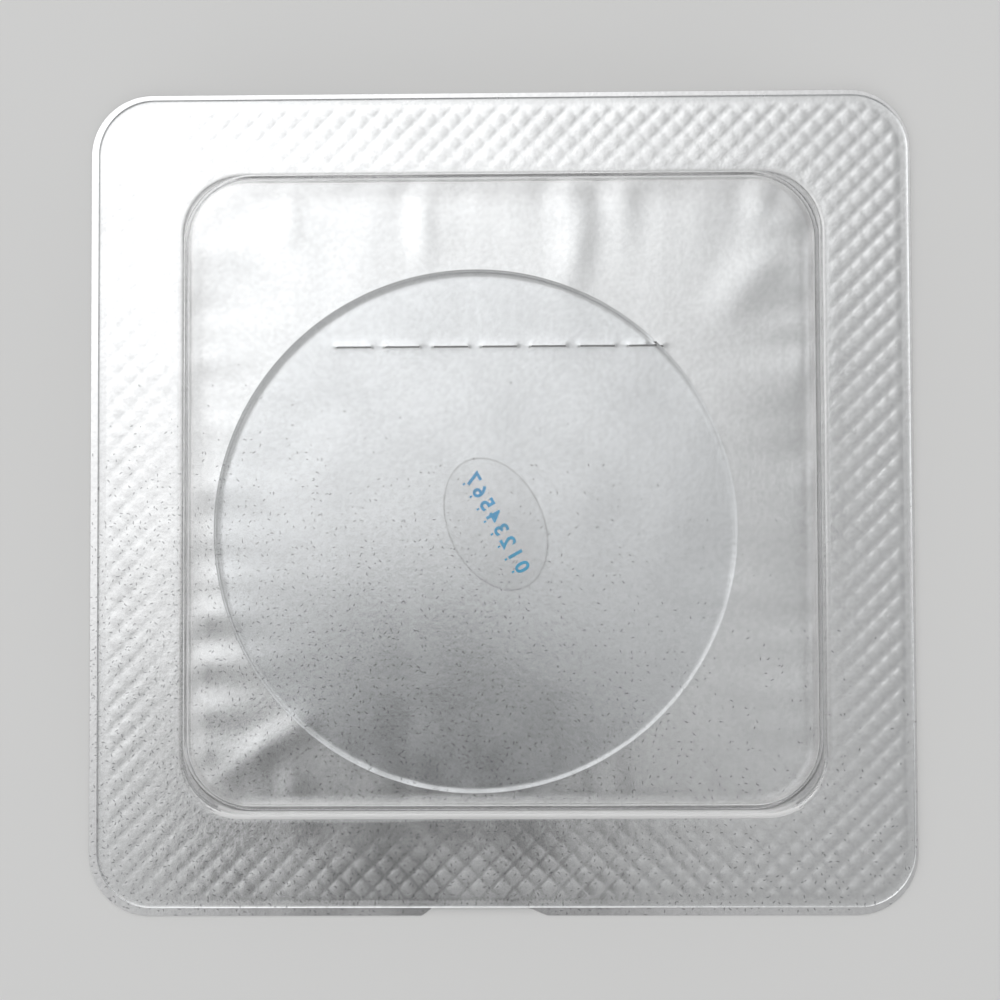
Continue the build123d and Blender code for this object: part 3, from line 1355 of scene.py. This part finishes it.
@dataclass
class Blister:
    """The clear sheet: knurled flange, drafted walls and a slightly uneven roof."""

    seal: Seal
    underside: float
    roof_top: float
    sheet: float = 0.3 * MM
    draft: float = 8.0
    roof_radius: float = 4.2 * MM
    foot_fillet: float = 0.35 * MM
    mouth_fillet: float = 0.15 * MM
    roof_fillet: float = 0.7 * MM
    rim_ease: float = 0.1 * MM
    rim_foot_share: float = 0.25
    rim_steps: int = 4
    edge_steps: tuple[int, int] = (140, 16)
    foot_steps: tuple[int, int] = (40, 18)
    arc_steps: int = 7
    wall_steps: int = 6
    top_share: float = 0.35
    bond: float = 0.004 * MM
    sag: float = 0.05 * MM
    sag_share: float = 0.6
    sag_edge: Ramp = Ramp(0.0, 5.0 * MM)
    sag_noise: Waviness = Waviness((14.0 * MM, 11.0 * MM), 2.2)
    # Below this y the outer foot's lowest rows take a painted highlight: a whitish band that stands in for
    # light gathered along the pocket's bottom edge.
    painted_highlight_below: float = -18.6 * MM
    margin: float = 0.09 * MM
    roof_margin: float = 0.3 * MM
    crease_angle: float = 50.0
    finishes: tuple[ClearFinish, ...] = (
        ClearFinish("clear_sheet", (0.985, 0.99, 0.992), 1.54, 0.0, 0.03),
        ClearFinish("cut_sheet", (0.97, 0.98, 0.985), 1.54, 0.15, 0.35),
        ClearFinish("clear_wall", (0.94, 0.94, 0.94), 1.2, 0.08, 0.16, wave=0.0, coat=1.0),
        # Painted highlight: a mostly diffuse, near-white finish for the bottom side of the outer foot,
        # standing in for a bright band of light there.
        ClearFinish("painted_highlight_foot", (0.97, 0.97, 0.97), 1.2, 0.08, 0.16, wave=0.0, haze=0.75, coat=0.7),
    )

    class Slot(IntEnum):
        """Material slots, in the order of the finishes."""

        CLEAR = 0
        CUT = 1
        WALL = 2
        MILKY = 3

    @property
    def flange_top(self) -> float:
        """Level of the flange's upper face."""
        return self.underside + self.sheet

    def wall_box(self, level: float, inset: float) -> RoundedBox:
        """Outline of the pocket's leaning wall at a level, moved in from its outer face.

        Args:
            level: Height above the table.
            inset: How far in.

        Returns:
            The outline.
        """
        pocket = self.seal.pocket
        climb = level - self.flange_top
        reach = pocket.half[0] - climb * math.tan(math.radians(self.draft)) - inset
        gain = (self.roof_radius - pocket.radius) * climb / (self.roof_top - self.flange_top)
        return RoundedBox(pocket.centre, (reach, reach), pocket.radius + gain - inset)

    def profile(self, face: PocketFace) -> list[tuple[RoundedBox, float]]:
        """Outlines up one face of the pocket, from its foot to its roof.

        Args:
            face: The face.

        Returns:
            Each outline with its level.
        """
        tilt = math.radians(self.draft)
        swing = QUARTER_TURN - tilt
        floor = self.flange_top - face.inset
        rows: list[tuple[RoundedBox, float]] = []
        base = self.wall_box(floor, face.inset)
        foot_reach = face.foot / math.tan((QUARTER_TURN + tilt) / 2)
        for step in range(self.arc_steps + 1):
            angle = -QUARTER_TURN - step / self.arc_steps * swing
            level = floor + face.foot + face.foot * math.sin(angle)
            rows.append((base.grown(foot_reach + face.foot * math.cos(angle)), level))
        low = rows[-1][1]
        centre_level = self.roof_top - face.inset - face.roof
        high = centre_level + face.roof * math.sin(tilt)
        for step in range(1, self.wall_steps):
            level = low + (high - low) * step / self.wall_steps
            rows.append((self.wall_box(level, face.inset), level))
        bend = self.wall_box(high, face.inset)
        for step in range(self.arc_steps + 1):
            angle = tilt + step / self.arc_steps * swing
            level = centre_level + face.roof * math.sin(angle)
            rows.append((bend.grown(face.roof * (math.cos(angle) - math.cos(tilt))), level))
        return rows

    def roof_sag(self, points: Array, edge: RoundedBox) -> Array:
        """How far the roof lies below its edge at each place.

        Args:
            points: Places in plan.
            edge: The roof's edge.

        Returns:
            One height for each place, zero or less.
        """
        inside = self.sag_edge.at(-edge.distance(points))
        uneven = self.sag_share + (1.0 - self.sag_share) * self.sag_noise.at(points)
        return -self.sag * inside * uneven

    def add_face(self, parts: MeshParts, foot_rows: Array, face: PocketFace) -> None:
        """Adds one face of the pocket, from the flange to the middle of the roof.

        Args:
            parts: Where it is added.
            foot_rows: Points of the flange that it grows from.
            face: The face.
        """
        rows = foot_rows
        outlines = self.profile(face)
        first = 0 if face.inner else 1
        for number, (box, level) in enumerate(outlines[first:], first):
            loop = box.loop(*self.foot_steps)
            above = parts.add_points(loop, level)
            # Painted highlight on the bottom side of the outer foot fillet only.
            painted_highlight = (loop[:, 1] < self.painted_highlight_below) & (number <= self.arc_steps and not face.inner)
            parts.bridge(rows, above, face.inner, np.where(painted_highlight, self.Slot.MILKY, self.Slot.WALL))
            rows = above
        edge, level = outlines[-1]
        rim = edge.grown(-self.roof_margin)
        plan = cut_plan(
            self.seal.lattice,
            [edge.loop(*self.foot_steps)],
            lambda places: np.where(rim.distance(places) < 0, Spacing.WIDE.value, Spacing.NONE.value),
            lambda places: edge.distance(places) < 0,
        )
        inner = plan.points[len(rows):]
        added = parts.add_points(inner, level + self.roof_sag(inner, edge))
        parts.add_plan(plan, np.concatenate([rows, added]), face.inner, self.Slot.CLEAR)

    def rim_profile(self, below: float) -> list[Pair]:
        """Outlines up the flange's cut edge, square below and rounded above.

        Args:
            below: Level of the flange's lower face.

        Returns:
            How far each is grown from the flange's outline, and its level.
        """
        rows = [(0.0, below + self.rim_ease * self.rim_foot_share)]
        for step in range(self.rim_steps):
            angle = step / self.rim_steps * QUARTER_TURN
            out = self.rim_ease * (math.cos(angle) - 1.0)
            rows.append((out, self.flange_top - self.rim_ease * (1.0 - math.sin(angle))))
        return rows

    def flange_plan(self, foot: RoundedBox) -> Plan:
        """The flat flange between its eased rim and the pocket's foot.

        Args:
            foot: The pocket's foot.

        Returns:
            The cut sheet.
        """
        flange = self.seal.flange

        def spacing_at(places: Array) -> Array:
            """Fine squares all over the flange.

            Args:
                places: Places in plan.

            Returns:
                A Spacing value for each place.
            """
            free = -flange.distance(places) > self.rim_ease + self.margin
            free &= foot.distance(places) > self.margin
            return np.where(free, Spacing.FINE.value, Spacing.NONE.value)

        loops = [flange.grown(-self.rim_ease).loop(*self.edge_steps), foot.loop(*self.foot_steps)]
        return cut_plan(self.seal.lattice, loops, spacing_at, lambda places: foot.distance(places) > 0)

    def build(self, tree: Tree, effects: Effects) -> Piece:
        """Makes the blister and dresses it.

        Args:
            tree: The knurl's Geometry Nodes.
            effects: The shared node groups.

        Returns:
            The piece.
        """
        outer = PocketFace(0.0, self.foot_fillet, self.roof_fillet, False)
        inner = PocketFace(self.sheet, self.mouth_fillet, self.roof_fillet - self.sheet, True)
        parts = MeshParts()
        plan = self.flange_plan(self.profile(outer)[0][0])
        share = self.seal.share(plan.points)
        below = self.underside - self.bond
        upper = parts.add_points(plan.points, self.flange_top, share * self.top_share)
        lower = parts.add_points(plan.points, below, share)
        parts.add_plan(plan, upper, False, self.Slot.CLEAR)
        parts.add_plan(plan, lower, True, self.Slot.CLEAR)
        rim_rows, foot_rows = plan.loops
        rows = lower[rim_rows]
        for out, level in self.rim_profile(below):
            loop = parts.add_points(self.seal.flange.grown(out).loop(*self.edge_steps), level)
            parts.bridge(rows, loop, False, self.Slot.CUT)
            rows = loop
        parts.bridge(rows, upper[rim_rows], False, self.Slot.CUT)
        self.add_face(parts, upper[foot_rows], outer)
        self.add_face(parts, lower[foot_rows], inner)
        materials = [finish.build(effects) for finish in self.finishes]
        piece = parts.build("clear_blister", materials)
        self.seal.press(piece, tree, materials[self.Slot.CLEAR])
        finish_shading(piece, self.crease_angle)
        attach(piece, "blister")
        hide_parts("blister_shell")
        return piece


@dataclass
class Crystal:
    """The flat round crystal with a fine bevel round both faces."""

    centre: Pair
    radius: float
    bottom: float
    top: float
    bevel: float = 0.15 * MM
    turns: int = 288
    face_rings: int = 4
    crease_angle: float = 25.0
    finishes: tuple[ClearFinish, ...] = (
        ClearFinish("sapphire_face", (0.99, 0.995, 1.0), 1.4, 0.0, 0.012, wave=0.0),
        ClearFinish("sapphire_edge", (0.96, 0.965, 0.97), 1.2, 0.08, 0.14, wave=0.0, coat=1.0),
    )

    class Slot(IntEnum):
        """Material slots, in the order of the finishes."""

        FACE = 0
        EDGE = 1

    def ring(self, reach: float) -> Array:
        """Points round a circle about the crystal's axis."""
        return oval(self.centre, (reach, reach), self.turns)

    def build(self, effects: Effects) -> Piece:
        """Makes the crystal and dresses it.

        Args:
            effects: The shared node groups.

        Returns:
            The piece.
        """
        parts = MeshParts()
        flat = self.radius - self.bevel
        steps = [
            (flat, self.bottom),
            (self.radius, self.bottom + self.bevel),
            (self.radius, self.top - self.bevel),
            (flat, self.top),
        ]
        bands = [parts.add_points(self.ring(reach), level) for reach, level in steps]
        for lower, upper in zip(bands, bands[1:]):
            parts.bridge(lower, upper, False, self.Slot.EDGE)
        rings = [self.ring(flat * (1.0 - step / self.face_rings)) for step in range(1, self.face_rings)]
        parts.cap(bands[0], rings, self.centre, self.bottom, True, self.Slot.FACE)
        parts.cap(bands[-1], rings, self.centre, self.top, False, self.Slot.FACE)
        piece = parts.build("watch_crystal", [finish.build(effects) for finish in self.finishes])
        finish_shading(piece, self.crease_angle)
        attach(piece, "crystal")
        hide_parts("sapphire_crystal")
        return piece


def mesh_lists(mesh: bpy.types.Mesh) -> tuple[Array, list[list[int]]]:
    """Points and faces of a mesh."""
    points = np.array([vertex.co[:] for vertex in mesh.vertices])
    return points, [list(face.vertices) for face in mesh.polygons]


@dataclass
class Sticker:
    """The oval sticker under the crystal: removable adhesive, clear film and a printed scale."""

    centre: Pair
    ink_bottom: float
    film_bottom: float
    adhesive_bottom: float
    adhesive_top: float
    length: float = 8.5 * MM
    width: float = 5.8 * MM
    tilt: float = 25.0
    margin: float = 0.1 * MM
    gap: float = 0.001 * MM
    turns: int = 160
    face_shares: Pair = (0.8, 0.4)
    crease_angle: float = 40.0
    digits: str = "01234567"
    digit_pitch: float = 0.87 * MM
    digit_height: float = 0.92 * MM
    digit_boldness: float = 0.026
    digit_steps: int = 6
    tick_gap: float = 0.1 * MM
    tick_length: float = 0.16 * MM
    tick_width: float = 0.1 * MM
    print_skew: float = 4.0
    print_crease_angle: float = 30.0
    fade_share: float = 2.2
    finishes: tuple[FilmFinish, ...] = (
        FilmFinish("film_face", (0.95, 0.96, 0.97), 0.01, 0.03),
        FilmFinish("film_edge", (0.5, 0.51, 0.52), 0.12, 0.22),
        FilmFinish("adhesive_face", (0.93, 0.93, 0.92), 0.01, 0.02, 0.3),
        FilmFinish("adhesive_edge", (0.7, 0.7, 0.7), 0.3, 0.4, 0.3),
    )

    class Slot(IntEnum):
        """Material slots, in the order of the finishes."""

        FILM_FACE = 0
        FILM_EDGE = 1
        GLUE_FACE = 2
        GLUE_EDGE = 3

    @property
    def heading(self) -> float:
        """Heading of the oval's length in degrees."""
        return 90.0 + self.tilt

    def ring(self, margin: float, share: float = 1.0) -> Array:
        """Points round the sticker's oval.

        Args:
            margin: How far it is smaller than the sticker.
            share: Its size as a share of that.

        Returns:
            The points, counter-clockwise.
        """
        half = ((self.length / 2 - margin) * share, (self.width / 2 - margin) * share)
        return oval(self.centre, half, self.turns, self.heading)

    def build_laminate(self, effects: Effects) -> Piece:
        """Makes the film with the slightly smaller adhesive on top of it.

        Args:
            effects: The shared node groups.

        Returns:
            The piece.
        """
        glue_top = self.adhesive_top - self.gap
        parts = MeshParts()
        foot = parts.add_points(self.ring(0.0), self.film_bottom)
        rim = parts.add_points(self.ring(0.0), self.adhesive_bottom)
        ledge = parts.add_points(self.ring(self.margin), self.adhesive_bottom)
        top = parts.add_points(self.ring(self.margin), glue_top)
        parts.bridge(foot, rim, False, self.Slot.FILM_EDGE)
        parts.bridge(rim, ledge, False, self.Slot.FILM_EDGE)
        parts.bridge(ledge, top, False, self.Slot.GLUE_EDGE)
        film_rings = [self.ring(0.0, share) for share in self.face_shares]
        glue_rings = [self.ring(self.margin, share) for share in self.face_shares]
        parts.cap(foot, film_rings, self.centre, self.film_bottom, True, self.Slot.FILM_FACE)
        parts.cap(top, glue_rings, self.centre, glue_top, False, self.Slot.GLUE_FACE)
        piece = parts.build("sticker_laminate", [finish.build(effects) for finish in self.finishes])
        finish_shading(piece, self.crease_angle)
        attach(piece, "crystal")
        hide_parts("sticker_film", "sticker_adhesive")
        return piece

    @staticmethod
    def tick_tree() -> Tree:
        """Geometry Nodes that set a row of equal ticks.

        Returns:
            The tree, with inputs for the count, the pitch, the tick's size and its material.
        """
        nodes, given, result = new_group(
            "tick_row",
            "GeometryNodeTree",
            [
                ("Geometry", GEOMETRY, None),
                ("Count", "NodeSocketInt", 8),
                ("Pitch", FLOAT, 1.0 * MM),
                ("Tick", VECTOR, None),
                ("Material", MATERIAL, None),
            ],
            ("Geometry", GEOMETRY),
        )
        offset = nodes.add("ShaderNodeCombineXYZ", X=given["Pitch"])
        row = nodes.add("GeometryNodeMeshLine", Count=given["Count"], Offset=offset.outputs[0])
        tick = nodes.add("GeometryNodeMeshCube", Size=given["Tick"])
        ticks = nodes.add("GeometryNodeInstanceOnPoints", Points=row.outputs[0], Instance=tick.outputs[0])
        nodes.feed(result, nodes.dress(ticks.outputs[0], given["Material"]))
        return nodes.tree

    def tick_mesh(self, ink: Material, thickness: float) -> tuple[Array, list[list[int]]]:
        """Mesh of the row of ticks, round the middle of its foot.

        Args:
            ink: Its material.
            thickness: Height of the ink.

        Returns:
            Points, with the lowest at zero, and faces.
        """
        row = new_object("sticker_scale", bpy.data.meshes.new("sticker_scale"))
        size = (self.tick_width, self.tick_length, thickness)
        values = {"Count": len(self.digits), "Pitch": self.digit_pitch, "Tick": size, "Material": ink}
        run_tree(row, self.tick_tree(), values)
        points, faces = mesh_lists(row.data)
        points += np.array([-self.half_row, self.tick_length / 2, thickness / 2])
        bpy.data.objects.remove(row)
        return points, faces

    def digit_mesh(self, digit: str, thickness: float) -> tuple[Array, list[list[int]]]:
        """Mesh of one digit, round the middle of its foot.

        Args:
            digit: The digit.
            thickness: Height of the ink.

        Returns:
            Points, with the lowest at zero, and faces.
        """
        text = bpy.data.curves.new("digit", "FONT")
        text.body = digit
        text.align_x = "CENTER"
        text.size = 1.0
        text.resolution_u = self.digit_steps
        text.offset = self.digit_boldness
        text.extrude = 0.5
        source = new_object("digit", text)
        depsgraph = bpy.context.evaluated_depsgraph_get()
        mesh = bpy.data.meshes.new_from_object(source.evaluated_get(depsgraph))
        points, faces = mesh_lists(mesh)
        bpy.data.objects.remove(source)
        bpy.data.curves.remove(text)
        bpy.data.meshes.remove(mesh)
        points[:, 1:] -= points[:, 1:].min(axis=0)
        points[:, :2] *= self.digit_height / points[:, 1].max()
        points[:, 2] *= thickness
        return points, faces

    @property
    def half_row(self) -> float:
        """From the first digit's middle to the middle of the row."""
        return (len(self.digits) - 1) / 2 * self.digit_pitch

    def build_print(self, effects: Effects) -> Piece:
        """Makes the printed scale, mirrored because it is read from below.

        Args:
            effects: The shared node groups.

        Returns:
            The piece.
        """
        thickness = self.film_bottom - self.ink_bottom - self.gap
        run, side = directions(self.heading + self.print_skew)
        start = np.array(self.centre) - run * (self.half_row + self.digit_pitch / 2)
        fade = self.fade_share * self.half_row
        ink = InkFinish("blue_ink", tuple(start.tolist()), tuple(run.tolist()), fade).build(effects)
        blocks = [self.tick_mesh(ink, thickness)]
        for number, digit in enumerate(self.digits):
            points, faces = self.digit_mesh(digit, thickness)
            along = number * self.digit_pitch - self.half_row
            points += np.array([along, self.tick_length + self.tick_gap, 0.0])
            blocks.append((points, faces))
        parts = MeshParts()
        row_height = self.tick_length + self.tick_gap + self.digit_height
        for points, faces in blocks:
            up = points[:, 1] - row_height / 2
            plan = np.array(self.centre) + points[:, :1] * run - up[:, None] * side
            rows = parts.add_points(plan, self.ink_bottom + points[:, 2])
            for face in faces:
                parts.add_faces(rows[np.array([face])], True, 0)
        piece = parts.build("sticker_scale", [ink])
        finish_shading(piece, self.print_crease_angle)
        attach(piece, "crystal")
        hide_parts("sticker_print")
        return piece


def flat_sheet(name: str, middle: Place, reach: Pair, facing_up: bool, material: Material) -> Piece:
    """Makes a flat rectangle for the studio.

    Args:
        name: Its name.
        middle: Its middle.
        reach: Half its size along X and along Y.
        facing_up: False to face it down.
        material: Its material.

    Returns:
        The rectangle.
    """
    corners = np.array([(-1.0, -1.0), (1.0, -1.0), (1.0, 1.0), (-1.0, 1.0)]) * np.array(reach)
    parts = MeshParts()
    rows = parts.add_points(corners + np.array(middle[:2]), middle[2])
    parts.add_faces(rows[None, :], not facing_up, 0)
    return parts.build(name, [material])


@dataclass(frozen=True)
class Panel:
    """Soft rectangular light that fades toward its edges."""

    name: str
    place: Place
    size: Pair
    radiance: float
    fade: float = 0.27
    aimed: bool = False

    def build(self) -> None:
        """Adds the light, facing down or at the object."""
        lamp = bpy.data.lights.new(self.name, "AREA")
        lamp.shape = "RECTANGLE"
        lamp.size, lamp.size_y = self.size
        lamp.energy = self.radiance * math.pi * self.size[0] * self.size[1]
        lamp.use_nodes = True
        nodes = Nodes(lamp.node_tree)
        across = nodes.split(nodes.add("ShaderNodeNewGeometry").outputs["Parametric"])
        fades = []
        for axis in ("X", "Y"):
            off_middle = nodes.math("ABSOLUTE", nodes.math("SUBTRACT", across[axis], 0.5))
            off_edge = nodes.math("SUBTRACT", 0.5, off_middle)
            fades.append(nodes.ramp(off_edge, Ramp(0.0, self.fade), 0.0, 1.0))
        nodes.feed(lamp.node_tree.nodes["Emission"].inputs["Strength"], nodes.math("MULTIPLY", *fades))
        panel = new_object(self.name, lamp)
        panel.location = self.place
        if self.aimed:
            panel.rotation_euler = Vector(self.place).to_track_quat("Z", "Y").to_euler()


@dataclass(frozen=True)
class Flag:
    """Soft dark sheet above the camera, which darkens what reflects it."""

    name: str
    place: Place
    reach: Pair
    cover: float
    fade: Ramp = Ramp(0.33, 0.98)
    colour: Colour = (0.02, 0.02, 0.02)
    roughness: float = 0.9

    def build(self) -> None:
        """Adds the sheet, hidden from the camera."""
        cloth = Surface(self.name)
        centred = cloth.vector("SUBTRACT", cloth.place, self.place)
        out = cloth.vector("LENGTH", cloth.vector("DIVIDE", centred, (*self.reach, 1.0)))
        alpha = cloth.ramp(out, self.fade, self.cover, 0.0)
        material = cloth.finish(Base_Color=self.colour, Roughness=self.roughness, Alpha=alpha)
        flag = flat_sheet(self.name, self.place, self.reach, False, material)
        flag.visible_camera = False


@dataclass
class Studio:
    """Pale floor, soft light from the upper left, and a camera almost straight above."""

    image_width: float = 1000.0
    sensor: float = 36.0
    focal_pixels: float = 2721.5
    camera_place: Place = (4.38 * MM, -8.85 * MM, 165.0 * MM)
    camera_turn: Place = (3.083, 1.546, -0.221)
    camera_range: Pair = (5.0 * MM, 20.0)
    floor_reach: float = 2.0
    floor_drop: float = 0.02 * MM
    floor_colour: Colour = (0.7, 0.7, 0.695)
    floor_shade: float = 0.985
    floor_roughness: float = 0.85
    floor_smears: float = 60.0 * MM
    horizon: Ramp = Ramp(-0.1, 0.6)
    horizon_strength: float = 0.5
    zenith: Ramp = Ramp(0.55, 0.92)
    zenith_strength: float = 0.4
    panels: tuple[Panel, ...] = (
        Panel("soft_panel", (-0.24, 0.28, 0.62), (0.9, 0.9), 1.23, fade=0.39),
        Panel("low_panel", (0.15, -0.9, 0.3), (1.2, 0.4), 1.5, aimed=True),
    )
    flags: tuple[Flag, ...] = (
        Flag("dark_flag", (-15.0 * MM, -30.0 * MM, 172.0 * MM), (40.0 * MM, 42.0 * MM), 0.8),
        Flag("side_flag", (35.0 * MM, 16.0 * MM, 171.0 * MM), (13.0 * MM, 34.0 * MM), 0.4),
    )

    def build_floor(self, effects: Effects) -> None:
        """Makes the floor.

        Args:
            effects: The shared node groups.
        """
        pale = Surface("pale_floor")
        smear = pale.smear(effects, self.floor_smears)
        shade = tuple(self.floor_shade * c for c in self.floor_colour)
        colour = pale.mix(smear, self.floor_colour, shade)
        material = pale.finish(Base_Color=colour, Roughness=self.floor_roughness)
        reach = (self.floor_reach, self.floor_reach)
        floor = flat_sheet("floor", (0.0, 0.0, -self.floor_drop), reach, True, material)

    def build_world(self) -> None:
        """Lights the room evenly, darker toward the horizon and straight above."""
        world = bpy.data.worlds.new("soft_room")
        world.use_nodes = True
        sky = Nodes(world.node_tree)
        upward = sky.split(sky.add("ShaderNodeTexCoord").outputs["Generated"])["Z"]
        rise = sky.ramp(upward, self.horizon, self.horizon_strength, 1.0)
        fall = sky.ramp(upward, self.zenith, 1.0, self.zenith_strength)
        strength = sky.math("MULTIPLY", rise, fall)
        sky.fill(world.node_tree.nodes["Background"], {"Color": (1.0, 1.0, 1.0), "Strength": strength})
        bpy.context.scene.world = world

    def build_camera(self) -> None:
        """Sets the camera at the photograph's viewing angle."""
        lens = bpy.data.cameras.new("camera")
        lens.sensor_width = self.sensor
        lens.lens = self.focal_pixels / self.image_width * self.sensor
        lens.clip_start, lens.clip_end = self.camera_range
        camera = new_object("camera", lens)
        camera.location = self.camera_place
        camera.rotation_euler = Euler([math.radians(turn) for turn in self.camera_turn], "XYZ")
        bpy.context.scene.camera = camera

    def build(self, effects: Effects) -> None:
        """Makes the whole studio.

        Args:
            effects: The shared node groups.
        """
        self.build_floor(effects)
        self.build_world()
        for item in (*self.flags, *self.panels):
            item.build()
        self.build_camera()
        bpy.context.scene.view_settings.view_transform = "Standard"


POCKET = RoundedBox((0.13 * MM, 0.51 * MM), (19.4079 * MM, 19.4079 * MM), 3.6 * MM)
FLANGE_CORNER = 3.4 * MM
CARD_CORNER = 3.7 * MM


def plan_of(low: Vector, high: Vector) -> tuple[Pair, Pair]:
    """Middle of a node's box in plan, and half its size."""
    return ((low.x + high.x) / 2, (low.y + high.y) / 2), ((high.x - low.x) / 2, (high.y - low.y) / 2)


def main() -> None:
    """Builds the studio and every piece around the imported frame."""
    logging.basicConfig(level=logging.INFO, format="%(message)s")
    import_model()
    effects = Effects()
    Studio().build(effects)

    lid_low, lid_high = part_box("lid_foil")
    lid_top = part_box("heat_seal_lacquer")[1].z
    shell_low, shell_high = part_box("blister_shell")
    glass_low, glass_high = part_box("sapphire_crystal")
    print_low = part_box("sticker_print")[0]
    film_low, film_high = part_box("sticker_film")
    outline = RoundedBox(*plan_of(lid_low, lid_high), CARD_CORNER)
    seal = Seal(RoundedBox(*plan_of(shell_low, shell_high), FLANGE_CORNER), POCKET)
    tree = knurl_tree()
    glass_centre, glass_half = plan_of(glass_low, glass_high)
    sticker_centre = plan_of(film_low, film_high)[0]
    sticker = Sticker(sticker_centre, print_low.z, film_low.z, film_high.z, glass_low.z)

    pieces = [
        LidSheet(seal, outline, lid_top).build(tree, effects),
        Blister(seal, shell_low.z, shell_high.z).build(tree, effects),
        Crystal(glass_centre, glass_half[0], glass_low.z, glass_high.z).build(effects),
        sticker.build_laminate(effects),
        sticker.build_print(effects),
    ]
    for piece in pieces:
        piece.data.calc_loop_triangles()
        LOG.info("%s: %d triangles", piece.name, len(piece.data.loop_triangles))


if __name__ == "__main__":
    main()
